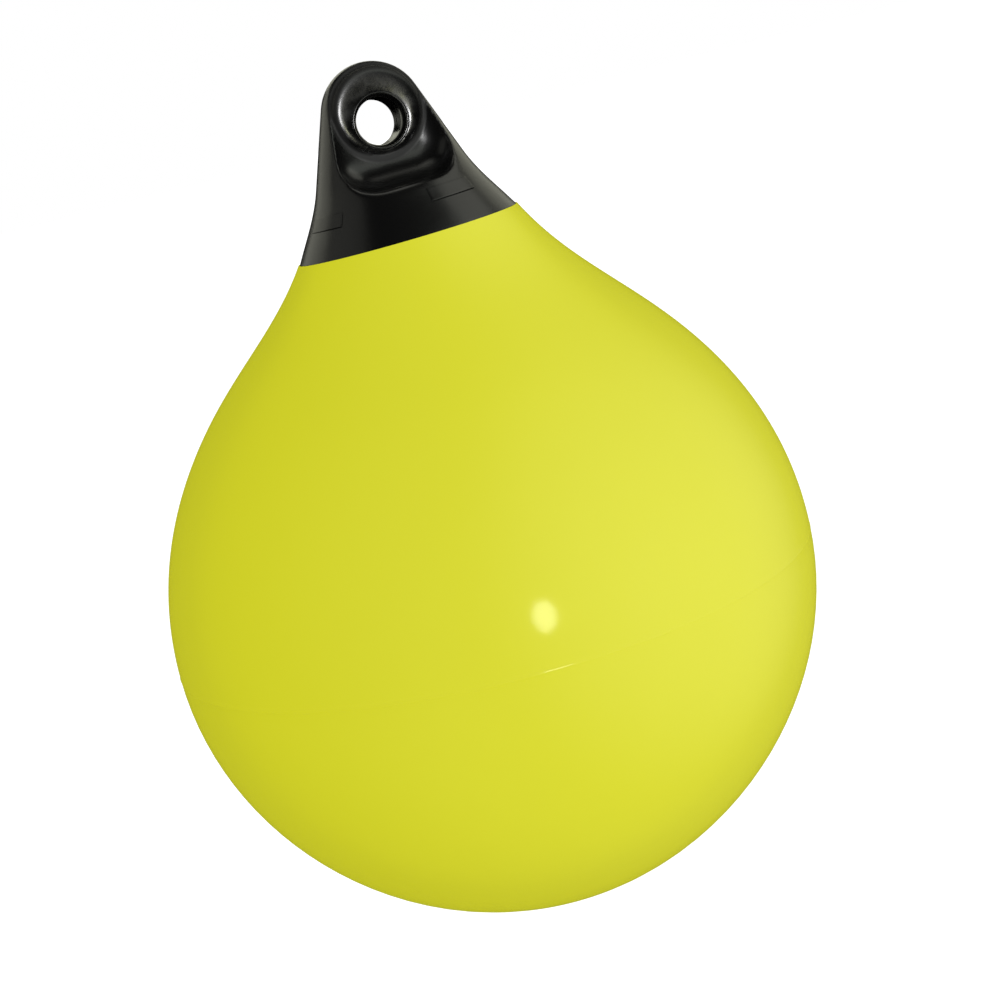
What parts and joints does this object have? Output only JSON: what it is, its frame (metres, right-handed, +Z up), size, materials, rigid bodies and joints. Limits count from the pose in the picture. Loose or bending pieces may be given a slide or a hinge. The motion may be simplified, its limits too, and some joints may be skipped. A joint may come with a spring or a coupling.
{
  "type": "inflatable net buoy",
  "caption": "Round inflatable float drawn up into a neck that ends in a solid black rope eye, with a screw-closed air valve behind the eye.",
  "frame": {"origin": "centre of the ball, in the plane of its widest ring, which is taken as the water's surface when the buoy carries its load", "axes": "+Z up the buoy's axis towards the rope eye, Y along the rope eye's hole, -Y out of the eye's front, valve on the +Y side"},
  "size_m": [0.3049, 0.305, 0.4046],
  "materials": {
    "yellow_vinyl": "glossy soft vinyl, blown smooth",
    "black_vinyl": "glossy moulded solid vinyl",
    "black_nylon": "satin moulded nylon"
  },
  "bodies": {
    "root": {"float_shell": "yellow_vinyl", "eye_cap": "black_vinyl", "valve_seat": "black_nylon", "valve_plug": "black_nylon"}
  },
  "joints": []
}
